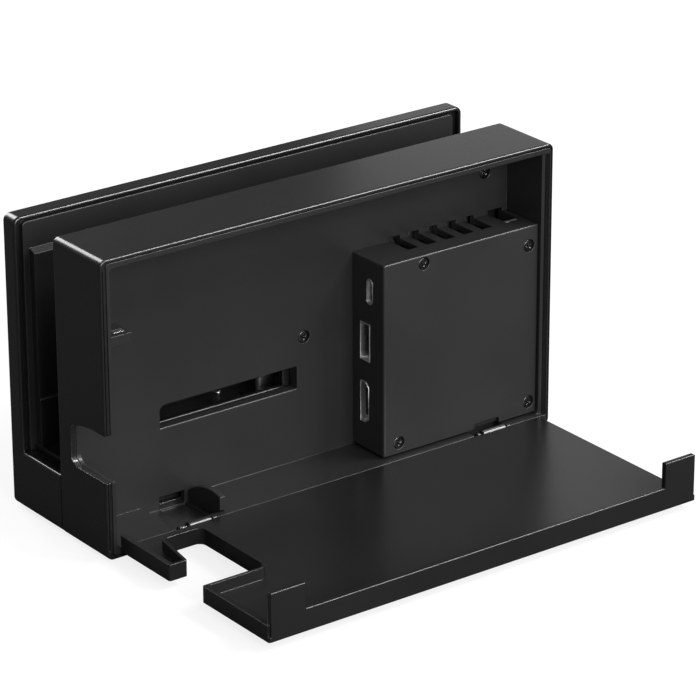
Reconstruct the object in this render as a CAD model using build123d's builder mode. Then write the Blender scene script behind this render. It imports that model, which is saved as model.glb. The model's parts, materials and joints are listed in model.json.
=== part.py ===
from build123d import *
import os

os.makedirs("parts", exist_ok=True)

# Upright dock for a handheld console. The front plate looks towards -Y, the rear cavity and its
# hinged cover look towards +Y, and +Z is up. The origin is the middle of the body's footprint on
# the table. The cover is modelled lying open and level. All sizes are in millimetres.

# Body
width = 173.0  # end to end
front_height = 97.0  # front plate above the underside of the shells
rear_height = 97.6  # rear body above the underside of the shells
foot_proud = 0.5  # feet below the underside of the shells
front_depth = 6.7  # front plate, skin to back edge
slot_gap = 21.4  # between the front plate and the rear body
rear_depth = 25.9  # rear body, front wall to rim
fit_gap = 0.1  # between a piece and the pocket or wall that it fits in
shell_wall = 2.0  # walls of the rear shell and thickness of the base plate

# Front plate and its inner panel
front_corner = 2.4
front_round = 1.0
front_back_round = 0.8  # back outline of the plate
front_skin = 1.6
pocket_side = 1.3  # margin round the inner panel's pocket at each end
pocket_top = 1.0
pocket_corner = 1.6
panel_side = 3.2  # margin round the inner panel at each end
panel_top = 2.0
panel_low = 3.5
panel_corner = 1.4
panel_round = 0.3
panel_ledge = 2.0  # width of the ledge that the panel seats on
panel_thick = 1.6
panel_sunk = 0.4

# Base under the slot
base_wall = 4.9
base_height = 19.5
base_round = 0.9  # outer upper edge of each base wall
floor_rise = 1.5  # slot floor above the tops of the base walls
floor_gap = 0.3  # between the slot floor's ends and the base walls
floor_thick = 1.8
floor_seat = 2.0  # ledge under each end of the slot floor
floor_seat_height = 3.0

# Guide rails on both sides of the slot
rail_margin = 5.4  # from the end of the dock to the rail
rail_width = 19.1
rail_thick = 2.7
rail_height = 65.0
rail_lead = 2.3
rail_lead_drop = 1.0
rail_step = 0.5
rail_step_height = 15.5
rear_rail_thick = 4.6

# Screws
screw_radius = 1.0
head_radius = 1.9
head_height = 1.1
head_recess = 1.2
drive_radius = 0.8
drive_depth = 0.6
recess_gap = 0.25
pass_gap = 0.2
thread_gap = 0.05
boss_wall = 1.75
base_screw_length = 7.3
base_screw_inset = 9.0
base_screw_margin_front = 3.7  # from the inner panel
base_screw_margin_rear = 4.1  # from the rear body
base_boss_drop = 8.0  # below the tops of the base walls
joining_screw_length = 8.1
joining_screw_inset = 8.5
joining_screw_height = 13.5
joining_boss_length = 9.0
screw_tip_gap = 0.4
rib_half = 1.0  # half the thickness of the ribs beside the bosses
wall_screw_length = 4.3
wall_screw_beside = 19.1  # first wall screw, from the port housing
wall_screw_rise = 41.9
wall_screw_far_inset = 9.1
wall_screw_far_drop = 9.8
wall_screw_near_inset = 6.9
wall_screw_near_drop = 6.9
wall_screw_near_rise = 45.9
housing_screw_beside = 15.9  # upper screw, from the port side
housing_screw_drop = 2.8
housing_screw_far_inset = 3.6
housing_screw_far_drop = 6.7
housing_screw_low_inset = 2.9
housing_screw_low_rise = 4.1
housing_screw_port_inset = 6.1
housing_screw_port_rise = 3.7
housing_screw_bite = 1.0  # beyond the back of the cavity wall
board_screw_beside = 24.2
board_screw_drop = 10.4
board_screw_far_inset = 11.0
board_screw_far_rise = 11.2
board_screw_port_inset = 21.2
board_screw_port_rise = 26.2

# Rear shell, rim and cavity
rear_corner = 2.2
rear_round = 0.8
rim_round = 0.6  # outer rear edge of the shell
rim_depth = 1.2  # rebate in the shell's rear edge that the tray's rim seats in
rim_lip_near = 1.9  # shell beside that rebate at the near end
rim_lip_far = 0.7
rim_lip_top = 1.05
rim_lip_corner = 1.2
rim_groove = 0.3  # between those lips and the tray's rim
rim_inner_round = 0.45
rim_far_round = 1.8
lip_groove_inset = 0.7  # narrow groove in the near lip
lip_groove = 0.3
lip_groove_depth = 0.5
lip_groove_margin = 3.2
hollow_gap = 2.4  # between the shell's front wall and the cavity wall
tray_back = 2.0
tray_side_near = 1.5
tray_side_far = 1.1
tray_top = 1.1
tray_floor = 1.6
tray_corner = 1.5

# Window between the cavity and the slot
window_offset = 29.3  # from the cavity's near side
window_length = 52.4
window_low = 24.9  # above the cavity floor
window_height = 7.7
window_corner = 2.2
window_round = 0.45  # lower edges of the window
window_far_ledge = 2.4
window_collar_wall = 1.2
window_collar_gap = 0.9
window_margin = 1.0

# Cable notch in the near end
notch_inset = 0.35  # from the cavity wall
notch_low = 22.2  # above the cavity floor
notch_height = 12.9  # at the cavity wall
notch_rise = 2.65  # further to the rim
notch_arch = 12.15  # length over which it rises
notch_bulge = 0.45
notch_corner = 2.8
notch_top_corner = 0.8

# Shelf on the cavity wall with its small plate
shelf_length = 13.4
shelf_depth = 9.5
shelf_thick = 3.5
shelf_height = 60.8  # above the cavity floor
mark_plate_length = 4.0
mark_plate_width = 2.5
mark_plate_thick = 0.4
mark_plate_sunk = 0.3
mark_plate_edge = 0.8
mark_plate_back = 4.9

# Hinge
axis_back = 0.7  # axis in front of the rim and above the cover's outer face
axis_height = 3.0  # above the underside of the shells
barrel_radius = 1.5
pin_radius = 0.5
pin_gap = 0.05
pin_seat = 1.1
lug_radius = 1.0
lug_thick = 1.2
lug_margin = 1.2
barrel_margin = 0.8
barrel_length = 8.2
barrel_length_far = 9.2
recess_length = 13.7
recess_length_far = 13.3
recess_near = 21.5  # from the cavity's near side to the near recess
recess_far = 14.4  # from the cavity's far side to the far recess
recess_depth = 2.5  # below the cavity floor
recess_wall = 1.5
recess_width_far = 7.0
rim_bar = 3.0  # narrow part of the near recess, at the rim
deep_pocket_length = 9.6
deep_pocket_width = 10.5
deep_pocket_depth = 0.7
deep_pocket_height = 4.3
deep_pocket_margin = 6.8

# Cable hook
hook_offset = 6.3  # beyond the rim part of the near recess
hook_thick = 2.2
hook_round = 0.5
hook_front = 1.9  # its end below the rim
hook_top = 5.7  # above the cavity floor
hook_crest = 9.0  # middle of its arch, from the cavity wall
hook_back_height = 1.6
hook_end_height = 4.3
hook_end_lift = 0.8
hook_under = 5.1

# Cover
cover_side_near = 0.9  # clearance to the cavity's near side
cover_side_far = 1.4
cover_reach = 78.2  # hinge axis to free edge
cover_thick = 1.5
cover_edge = 1.1  # hinge axis to the cover's hinge edge
cover_wall = 1.75
cover_wall_height = 5.3
cover_lip = 1.8
cover_lip_height = 7.3
cover_tab_height = 15.7
cover_tab_near = 13.3
cover_tab_far = 12.7
cover_corner = 0.8
cover_top_round = 0.35  # upper edges of the lip and tabs
cut_start = 10.7  # cable notch in the cover, from the hinge axis
cut_length = 33.5
cut_depth = 23.0
cut_corner = 2.5
cut_wall = 1.0
cut_root_round = 1.4
cut_past = 5.0  # how far the cut is drawn past the cover's edge
tongue_round = 0.8
tongue_length = 16.5
tongue_root = 9.3
tongue_tip = 6.5

# Port housing
housing_length = 62.2
housing_height = 65.6
housing_lift = 0.7
housing_side_gap = 0.3
housing_sunk = 3.0  # its face below the rim
housing_wall = 2.0
housing_round = 0.8
housing_top_round = 0.5
housing_low_round = 0.3
post_wall = 1.7
vent_width = 4.2
vent_pitch = 7.5
vent_count = 5
vent_reach = 9.5
vent_depth = 3.4
vent_offset = 14.8
wide_vent_width = 6.0
wide_vent_offset = 1.5
wall_nick = 1.2  # openings of the cavity wall, above the housing's top
hinge_cut_height = 2.0
hinge_cut_depth = 1.6
hinge_cut_margin = 1.9
hinge_cut_far_margin = 1.0

# Main board and what stands on it
board_drop = 2.7
board_thick = 1.2
board_gap = 0.5
board_boss = 2.2
board_screw_length = 2.4
chip_inset = 19.0
chip_length = 14.0
chip_thick = 1.2
chip_gap = 5.0
small_chip_length = 7.0
small_chip_thick = 1.0
small_chip_drop = 15.6
capacitor_inset = 10.0
capacitor_rise = 23.0
capacitor_radius = 2.5
capacitor_height = 5.5
capacitor_pitch = 8.0
clip_length = 5.0
clip_thick = 2.1
clip_top = 0.1
clip_foot = 1.4
clip_gap = 0.4  # behind the end of the vent
clip_side_gap = 0.1

# Ports, with the places of their middles
port_sunk = 0.2
port_gap = 0.1
socket_core_gap = 0.1
power_drop = 10.9  # below the housing's top
power_long = 8.9
power_short = 3.2
power_depth = 7.5
power_shell = 0.3
power_tongue = 0.7
power_tongue_margin = 2.4
power_tongue_sunk = 0.6
usb_shift = 1.5  # above the middle between the other two ports
usb_long = 13.0
usb_short = 5.3
usb_depth = 14.0
usb_lift = 1.35
usb_shell = 0.4
usb_tongue = 1.8
usb_tongue_shift = 0.9
usb_tongue_margin = 2.2
usb_tongue_sunk = 1.2
usb_spring_start = 3.0  # spring windows in the shell, from its mouth
usb_spring_end = 8.0
usb_spring_half = 0.8
leg_inset = 1.0  # soldered legs, from the back of a shell
leg_length = 2.0
video_height = 16.1  # above the housing's underside
video_long = 14.2
video_short = 4.5
video_slope = 1.6
video_depth = 11.0
video_lift = 2.0
video_shell = 0.35
video_tongue = 1.4
video_tongue_margin = 4.6
video_tongue_sunk = 0.8
socket_back = 0.8

# Plug in the slot and what holds it
opening_long = 17.0
opening_wide = 8.4
opening_gap = 0.3
opening_corner = 1.5
carrier_proud = 0.8
carrier_flange_long = 24.0
carrier_flange_wide = 10.0
carrier_flange_thick = 3.0
plug_long = 8.3
plug_wide = 2.4
plug_wall = 0.3
plug_reach = 8.5
plug_mouth = 5.5
plug_gap = 0.05
support_length = 6.0
support_spacing = 60.0
bracket_end = 4.0
bracket_thick = 1.2
bracket_hole_gap = 0.4
bracket_screw_length = 5.2
locating_pin_radius = 1.3
locating_pin_spacing = 38.6
locating_pin_proud = 5.5
plug_board_long = 20.0
plug_board_wide = 11.0
plug_board_thick = 1.0
plug_board_drop = 1.2

# Ribbon from the plug to the main board
ribbon_width = 10.0
ribbon_thick = 0.3
ribbon_gap = 1.0
ribbon_offset = 18.9
ribbon_stand = 1.2
ribbon_start = 1.3  # behind the plug

# Shield plate between the walls
shield_thick = 0.4
shield_end = 14.5
shield_low = 21.9  # above the cavity floor
shield_top = 16.1  # below the top of the rear body

# Feet
foot_radius = 4.0
foot_thick = 1.2
foot_inset_rear = 9.5
foot_inset_front = 20.5
foot_back = 12.0
foot_ahead = 11.1

# Limits that follow from the sizes above
half = width / 2
y_front = -(front_depth + slot_gap + rear_depth) / 2
y_plate = y_front + front_depth
y_seam = y_plate + slot_gap
y_rim = y_seam + rear_depth
z_low = foot_proud
z_front_top = z_low + front_height
z_rear_top = z_low + rear_height

y_panel = y_plate - panel_sunk
y_ledge = y_panel - panel_thick
x_panel = half - panel_side
x_pocket = half - pocket_side
z_pocket_top = z_front_top - pocket_top
z_panel_low = z_low + panel_low
z_panel_top = z_front_top - panel_top

x_base = half - base_wall
z_base_top = z_low + base_height
z_base_plate = z_low + shell_wall
x_floor = x_base - floor_gap
z_floor = z_base_top + floor_rise
z_floor_under = z_floor - floor_thick

thread_radius = screw_radius + thread_gap
boss_radius = thread_radius + boss_wall
x_rail = half - rail_margin
y_rail_front = y_panel + rail_thick
y_rail_rear = y_seam - rear_rail_thick
y_plug = (y_rail_front + y_rail_rear) / 2
z_rail_top = z_floor + rail_height

y_shell_rear = y_rim - rim_depth
y_shell_inner = y_seam + shell_wall
y_tray_back = y_shell_inner + hollow_gap
y_wall = y_tray_back + tray_back
shell_inner_corner = rear_corner - shell_wall / 2
y_joining_end = y_shell_inner - joining_screw_length - screw_tip_gap
z_base_boss = z_base_top - base_boss_drop
x_inner = half - shell_wall
x_tray = x_inner - fit_gap
x_near = x_tray - tray_side_near
x_far = -(x_tray - tray_side_far)
z_tray_low = z_low + shell_wall + fit_gap
z_tray_top = z_rear_top - shell_wall - fit_gap
z_cavity = z_low + shell_wall + tray_floor
z_cavity_top = z_tray_top - tray_top

x_window_near = x_near - window_offset
x_window_far = x_window_near - window_length
z_window = z_cavity + window_low
z_window_top = z_window + window_height

y_axis = y_rim - axis_back
z_axis = z_low + axis_height
z_recess = z_cavity - recess_depth
x_recess_near = x_near - recess_near
x_recess_near_end = x_recess_near - recess_length
x_recess_far = x_far + recess_far
x_recess_far_end = x_recess_far + recess_length_far
x_hook = x_recess_near_end - hook_offset
y_recess_inner = y_rim - rim_bar

x_housing = x_far + housing_side_gap
x_ports = x_housing + housing_length
y_face = y_rim - housing_sunk
z_housing = z_cavity + housing_lift
z_housing_top = z_housing + housing_height
y_boss_seat = y_face - housing_wall - board_drop
y_board = y_boss_seat - board_thick

x_cover_near = x_near - cover_side_near
x_cover_far = x_far + cover_side_far
z_cover = z_axis - axis_back
y_cover = y_axis + cover_edge
y_cover_end = y_axis + cover_reach

z_bracket = z_floor_under - support_length
z_bracket_low = z_bracket - bracket_thick
z_plug_board = z_bracket_low - plug_board_drop
z_carrier_top = z_floor + carrier_proud
z_plug_top = z_carrier_top + plug_reach


def block(x0, x1, y0, y1, z0, z1, mode=Mode.ADD):
    """Straight block between the given limits."""
    with BuildSketch(Plane.XY.offset(z0)) as outline:
        with Locations(((x0 + x1) / 2, (y0 + y1) / 2)):
            Rectangle(abs(x1 - x0), abs(y1 - y0))
    extrude(outline.sketch, amount=z1 - z0, mode=mode)


def plate(x0, x1, z0, z1, radius, y0, y1, mode=Mode.ADD):
    """Upright plate with rounded corners, from y0 back to y1."""
    with BuildSketch(Plane.XZ.offset(-y0)) as outline:
        with Locations(((x0 + x1) / 2, (z0 + z1) / 2)):
            RectangleRounded(abs(x1 - x0), abs(z1 - z0), radius)
    extrude(outline.sketch, amount=y0 - y1, mode=mode)


def prism(points, x0, x1, corners=(), radius=0.0, mode=Mode.ADD):
    """Profile in Y and Z, drawn out along X, with some of its corners rounded."""
    with BuildSketch(Plane.YZ.offset(x0)) as outline:
        with BuildLine():
            Polyline(*points, close=True)
        make_face()
        for point in corners:
            fillet(outline.vertices().sort_by_distance((point[0], point[1], 0))[0], radius)
    extrude(outline.sketch, amount=x1 - x0, mode=mode)


def rod_x(y, z, radius, x0, x1, mode=Mode.ADD):
    """Round bar along X."""
    with BuildSketch(Plane.YZ.offset(x0)) as outline:
        with Locations((y, z)):
            Circle(radius)
    extrude(outline.sketch, amount=x1 - x0, mode=mode)


def rod_y(x, z, radius, y0, y1, mode=Mode.ADD):
    """Round bar along Y."""
    with BuildSketch(Plane.XZ.offset(-y0)) as outline:
        with Locations((x, z)):
            Circle(radius)
    extrude(outline.sketch, amount=y0 - y1, mode=mode)


def rod_z(x, y, radius, z0, z1, mode=Mode.ADD):
    """Round bar along Z."""
    with BuildSketch(Plane.XY.offset(z0)) as outline:
        with Locations((x, y)):
            Circle(radius)
    extrude(outline.sketch, amount=z1 - z0, mode=mode)


def screw_y(x, z, seat, length, way):
    """Pan head screw along Y. Its head stands on the side that way points to."""
    rod_y(x, z, head_radius, seat, seat + way * head_height)
    rod_y(x, z, screw_radius, seat - way * length, seat + way * head_height / 2)
    with BuildSketch(Plane.XZ.offset(-(seat + way * (head_height - drive_depth)))) as drive:
        with Locations((x, z)):
            RegularPolygon(drive_radius, 6)
    extrude(drive.sketch, amount=-way * drive_depth, mode=Mode.SUBTRACT)


def screw_z(x, y, seat, length):
    """Pan head screw that points up, with its head below the seat."""
    rod_z(x, y, head_radius, seat - head_height, seat)
    rod_z(x, y, screw_radius, seat - head_height / 2, seat + length)
    with BuildSketch(Plane.XY.offset(seat - head_height)) as drive:
        with Locations((x, y)):
            RegularPolygon(drive_radius, 6)
    extrude(drive.sketch, amount=drive_depth, mode=Mode.SUBTRACT)


# Screw places
base_screw_y = (y_panel + base_screw_margin_front, y_seam - base_screw_margin_rear)
base_screw_places = [(side * (half - base_screw_inset), y) for side in (-1, 1) for y in base_screw_y]
joining_places = [(side * (half - joining_screw_inset), z_low + joining_screw_height) for side in (-1, 1)]
wall_screw_places = [
    (x_ports + wall_screw_beside, z_cavity + wall_screw_rise),
    (x_far + wall_screw_far_inset, z_cavity_top - wall_screw_far_drop),
    (x_near - wall_screw_near_inset, z_cavity_top - wall_screw_near_drop),
    (x_near - wall_screw_near_inset, z_cavity + wall_screw_near_rise),
]
housing_screw_places = [
    (x_ports - housing_screw_beside, z_housing_top - housing_screw_drop),
    (x_housing + housing_screw_far_inset, z_housing_top - housing_screw_far_drop),
    (x_housing + housing_screw_low_inset, z_housing + housing_screw_low_rise),
    (x_ports - housing_screw_port_inset, z_housing + housing_screw_port_rise),
]
board_screw_places = [
    (x_ports - board_screw_beside, z_housing_top - board_screw_drop),
    (x_housing + board_screw_far_inset, z_housing + board_screw_far_rise),
    (x_ports - board_screw_port_inset, z_housing + board_screw_port_rise),
]
foot_places = [
    (side * (half - inset), y)
    for side in (-1, 1)
    for inset, y in ((foot_inset_rear, y_rim - foot_back), (foot_inset_front, y_seam - foot_ahead))
]
support_x = support_spacing / 2
vent_edges = [x_ports - vent_offset - i * vent_pitch for i in range(vent_count)]
vent_spans = [(edge - vent_width, edge) for edge in vent_edges]
vent_spans.append((x_housing + wide_vent_offset, x_housing + wide_vent_offset + wide_vent_width))

# Cable notch of the near end, shared by the shell and the cavity tray
y_notch = y_wall + notch_inset
y_arch = y_notch + notch_arch
z_notch = z_cavity + notch_low
z_notch_top = z_notch + notch_height


def cut_notch(x0, x1):
    """Opening for cords: level below, and rising above from the cavity wall towards the rim."""
    crest = ((y_notch + y_arch) / 2, z_notch_top + notch_rise / 2 + notch_bulge)
    with BuildSketch(Plane.YZ.offset(x0)) as outline:
        with BuildLine():
            Polyline(
                (y_notch, z_notch_top),
                (y_notch, z_notch),
                (y_rim + 1, z_notch),
                (y_rim + 1, z_notch_top + notch_rise),
                (y_arch, z_notch_top + notch_rise),
            )
            ThreePointArc((y_arch, z_notch_top + notch_rise), crest, (y_notch, z_notch_top))
        make_face()
        fillet(outline.vertices().sort_by_distance((y_notch, z_notch, 0))[0], notch_corner)
        fillet(outline.vertices().sort_by_distance((y_notch, z_notch_top, 0))[0], notch_top_corner)
    extrude(outline.sketch, amount=x1 - x0, mode=Mode.SUBTRACT)


# Front shell: front plate with its skin, and the two end walls of the base
with BuildPart() as front_shell:
    plate(-half, half, z_low, z_front_top, front_corner, y_front, y_plate)
    fillet(front_shell.faces().sort_by(Axis.Y)[0].edges(), front_round)
    fillet(front_shell.faces().sort_by(Axis.Y)[-1].edges(), front_back_round)
    with BuildSketch(Plane.XZ.offset(-y_ledge)) as base_ends:
        with Locations((0, z_low + front_height / 2)):
            RectangleRounded(width, front_height, front_corner)
            Rectangle(width - 2 * base_wall, front_height + 2, mode=Mode.SUBTRACT)
        with Locations((0, z_base_top + front_height / 2)):
            Rectangle(width + 2, front_height, mode=Mode.SUBTRACT)
        for side in (-1, 1):
            corner = base_ends.vertices().sort_by_distance((side * half, z_base_top, 0))[0]
            fillet(corner, base_round)
    extrude(amount=-(y_seam - y_ledge))
    # Ledges under the ends of the slot floor
    for side in (-1, 1):
        block(
            side * (x_base + base_wall / 2),
            side * (x_floor - floor_seat),
            y_plate,
            y_seam,
            z_floor_under - floor_seat_height,
            z_floor_under,
        )
    # Pocket of the inner panel, wider than the panel above the base
    with BuildSketch(Plane.XZ.offset(-y_ledge)) as pocket:
        with Locations((0, (z_panel_low + z_pocket_top) / 2)):
            RectangleRounded(2 * x_pocket, z_pocket_top - z_panel_low, pocket_corner)
        with Locations((0, z_base_top - front_height / 2)):
            Rectangle(width, front_height, mode=Mode.SUBTRACT)
        with Locations((0, (z_panel_low + z_base_top) / 2)):
            Rectangle(2 * x_panel, z_base_top - z_panel_low)
    extrude(amount=-(y_plate - y_ledge), mode=Mode.SUBTRACT)
    block(
        -(x_panel - panel_ledge),
        x_panel - panel_ledge,
        y_front + front_skin,
        y_ledge,
        z_panel_low + panel_ledge,
        z_panel_top - panel_ledge,
        mode=Mode.SUBTRACT,
    )
    for x, y in base_screw_places:
        side = 1 if x > 0 else -1
        block(x, side * (x_base + base_wall / 2), y - rib_half, y + rib_half, z_base_plate, z_base_boss)
        rod_z(x, y, boss_radius, z_base_plate, z_base_boss)
    for x, z in joining_places:
        side = 1 if x > 0 else -1
        y_boss = y_seam - joining_boss_length
        block(x, side * (x_base + base_wall / 2), y_boss, y_seam, z - rib_half, z + rib_half)
        rod_y(x, z, boss_radius, y_boss, y_seam)
    for x, y in base_screw_places:
        rod_z(x, y, thread_radius, z_base_plate, z_base_plate + base_screw_length, mode=Mode.SUBTRACT)
    for x, z in joining_places:
        rod_y(x, z, thread_radius, y_joining_end, y_seam, mode=Mode.SUBTRACT)
front_shell.part.label = "front_shell"
export_step(front_shell.part, "parts/front_shell.step")

# Inner panel of the front plate, with a guide rail at each end
with BuildPart() as front_inner_panel:
    plate(
        -(x_panel - fit_gap),
        x_panel - fit_gap,
        z_panel_low + fit_gap,
        z_panel_top - fit_gap,
        panel_corner,
        y_ledge,
        y_panel,
    )
    fillet(front_inner_panel.faces().sort_by(Axis.Y)[-1].edges(), panel_round)
    rail_profile = [
        (y_panel - panel_thick / 2, z_floor),
        (y_rail_front + rail_step, z_floor),
        (y_rail_front + rail_step, z_floor + rail_step_height),
        (y_rail_front, z_floor + rail_step_height + rail_step),
        (y_rail_front, z_rail_top - rail_lead_drop),
        (y_rail_front - rail_lead, z_rail_top),
        (y_panel - panel_thick / 2, z_rail_top),
    ]
    prism(rail_profile, x_rail - rail_width, x_rail)
    prism(rail_profile, -x_rail, -x_rail + rail_width)
front_inner_panel.part.label = "front_inner_panel"
export_step(front_inner_panel.part, "parts/front_inner_panel.step")

# Base plate, screwed up into the front shell
with BuildPart() as base_plate:
    block(-(x_base - fit_gap), x_base - fit_gap, y_plate + fit_gap, y_seam - fit_gap, z_low, z_base_plate)
    for x, y in base_screw_places:
        rod_z(x, y, head_radius + recess_gap, z_low, z_low + head_recess, mode=Mode.SUBTRACT)
        rod_z(x, y, screw_radius + pass_gap, z_low, z_base_plate, mode=Mode.SUBTRACT)
    for x, y in foot_places:
        if y < y_seam:
            rod_z(x, y, foot_radius + fit_gap, z_low, foot_thick, mode=Mode.SUBTRACT)
base_plate.part.label = "base_plate"
export_step(base_plate.part, "parts/base_plate.step")

# Floor of the console slot, on the ledges of the base walls
with BuildPart() as slot_floor:
    block(-x_floor, x_floor, y_plate, y_seam, z_floor_under, z_floor)
    fillet(
        slot_floor.edges().filter_by(Axis.Y).group_by(Axis.Z)[-1],
        floor_thick / 4,
    )
    for side in (-1, 1):
        rod_z(side * support_x, y_plug, boss_radius, z_bracket, z_floor_under)
        rod_z(
            side * support_x,
            y_plug,
            screw_radius + thread_gap,
            z_bracket,
            z_bracket_low + bracket_screw_length + screw_tip_gap,
            mode=Mode.SUBTRACT,
        )
        rod_z(
            side * locating_pin_spacing / 2,
            y_plug,
            locating_pin_radius + fit_gap,
            z_floor_under,
            z_floor,
            mode=Mode.SUBTRACT,
        )
    with BuildSketch(Plane.XY.offset(z_floor_under)) as plug_opening:
        with Locations((0, y_plug)):
            RectangleRounded(opening_long, opening_wide, opening_corner)
    extrude(amount=floor_thick, mode=Mode.SUBTRACT)
slot_floor.part.label = "slot_floor"
export_step(slot_floor.part, "parts/slot_floor.step")

# Rear shell: outer sleeve of the rear body with its guide rails on the slot side
with BuildPart() as rear_shell:
    plate(-half, half, z_low, z_rear_top, rear_corner, y_seam, y_rim)
    fillet(rear_shell.faces().sort_by(Axis.Y)[0].edges(), rear_round)
    fillet(rear_shell.faces().sort_by(Axis.Y)[-1].edges(), rim_round)
    plate(
        -(half - rim_lip_far),
        half - rim_lip_near,
        z_low + rim_lip_top,
        z_rear_top - rim_lip_top,
        rim_lip_corner,
        y_shell_rear,
        y_rim,
        mode=Mode.SUBTRACT,
    )
    block(
        half - lip_groove_inset - lip_groove,
        half - lip_groove_inset,
        y_rim - lip_groove_depth,
        y_rim,
        z_low + lip_groove_margin,
        z_rear_top - lip_groove_margin,
        mode=Mode.SUBTRACT,
    )
    plate(
        -x_inner,
        x_inner,
        z_low + shell_wall,
        z_rear_top - shell_wall,
        shell_inner_corner,
        y_shell_inner,
        y_shell_rear,
        mode=Mode.SUBTRACT,
    )
    for x0, x1 in ((x_rail - rail_width, x_rail), (-x_rail, -x_rail + rail_width)):
        prism(
            [
                (y_seam + shell_wall / 2, z_floor),
                (y_rail_rear, z_floor),
                (y_rail_rear, z_rail_top - rail_lead_drop),
                (y_rail_rear + rail_lead, z_rail_top),
                (y_seam + shell_wall / 2, z_rail_top),
            ],
            x0,
            x1,
        )
    for x, z in wall_screw_places:
        rod_y(x, z, boss_radius, y_seam + shell_wall / 2, y_tray_back)
        rod_y(
            x,
            z,
            screw_radius + thread_gap,
            y_wall - head_recess - wall_screw_length - fit_gap,
            y_tray_back,
            mode=Mode.SUBTRACT,
        )
    for x, z in joining_places:
        rod_y(x, z, screw_radius + pass_gap, y_seam, y_shell_inner, mode=Mode.SUBTRACT)
    block(
        x_window_far + window_far_ledge,
        x_window_near + window_margin,
        y_seam - 1,
        y_shell_inner,
        z_window,
        z_window_top + window_margin,
        mode=Mode.SUBTRACT,
    )
    window_edges = rear_shell.edges().filter_by(Axis.X)
    fillet(window_edges.sort_by_distance((x_window_near, y_shell_inner, z_window))[0], window_round)
    block(
        -(ribbon_width / 2 + ribbon_gap),
        ribbon_width / 2 + ribbon_gap,
        y_seam - 1,
        y_shell_inner,
        z_plug_board - ribbon_gap,
        z_plug_board + ribbon_thick + ribbon_gap,
        mode=Mode.SUBTRACT,
    )
    cut_notch(x_inner - 1, half + 1)
    block(
        x_hook - recess_wall - fit_gap,
        x_recess_near + recess_wall + fit_gap,
        y_tray_back - fit_gap,
        y_rim + 1,
        z_low - 1,
        z_low + shell_wall,
        mode=Mode.SUBTRACT,
    )
    block(
        x_recess_far - recess_wall - fit_gap,
        x_recess_far_end + recess_wall + fit_gap,
        y_rim - recess_width_far - recess_wall - fit_gap,
        y_rim + 1,
        z_low - 1,
        z_low + shell_wall,
        mode=Mode.SUBTRACT,
    )
    for x, y in foot_places:
        if y > y_seam:
            rod_z(x, y, foot_radius + fit_gap, z_low, foot_thick, mode=Mode.SUBTRACT)
rear_shell.part.label = "rear_shell"
export_step(rear_shell.part, "parts/rear_shell.step")

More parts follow.
